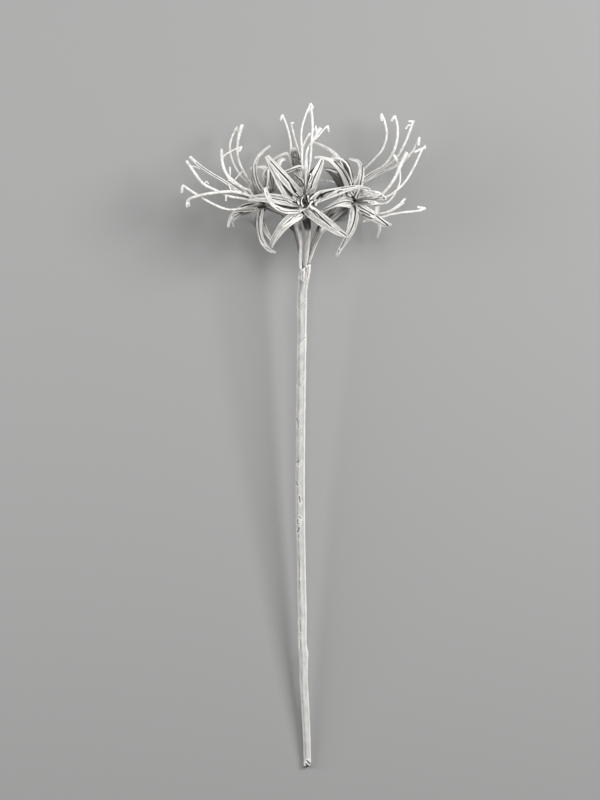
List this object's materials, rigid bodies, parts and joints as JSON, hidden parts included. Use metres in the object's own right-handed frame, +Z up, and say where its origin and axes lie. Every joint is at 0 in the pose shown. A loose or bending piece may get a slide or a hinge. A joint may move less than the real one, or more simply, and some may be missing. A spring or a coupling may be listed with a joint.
{
  "type": "spider lily",
  "caption": "Hand-made spider lily: folded paper tepals and long hooked filaments in an open umbel on a bare, taped stem. A decorative cut bloom that lies flat.",
  "frame": {"origin": "middle of the underside of the whole flower's box, on the surface that it lies on", "axes": "+Y along the stem from its cut end towards the blooms, +Z up from the surface that the flower lies on, +X to the right when it is seen from above with the blooms at the top"},
  "size_m": [0.1842, 0.4976, 0.1129],
  "materials": {
    "stem": "matt wound paper tape, off-white",
    "tape": "matt paper tape, off-white",
    "pedicel": "matt paper tape, warm grey",
    "tepal": "matt folded paper, pale off-white",
    "filament": "matt paper tape wound on wire, pale off-white"
  },
  "bodies": {
    "root": {"stem": "stem", "neck_tape": "tape", "front_pedicel": "pedicel", "front_perianth": "tepal", "front_stamens": "filament", "left_pedicel": "pedicel", "left_perianth": "tepal", "left_stamens": "filament", "right_pedicel": "pedicel", "right_perianth": "tepal", "right_stamens": "filament", "rear_left_pedicel": "pedicel", "rear_left_perianth": "tepal", "rear_left_stamens": "filament", "rear_right_pedicel": "pedicel", "rear_right_perianth": "tepal", "rear_right_stamens": "filament", "rear_pedicel": "pedicel", "rear_perianth": "tepal", "rear_stamens": "filament"}
  },
  "joints": []
}
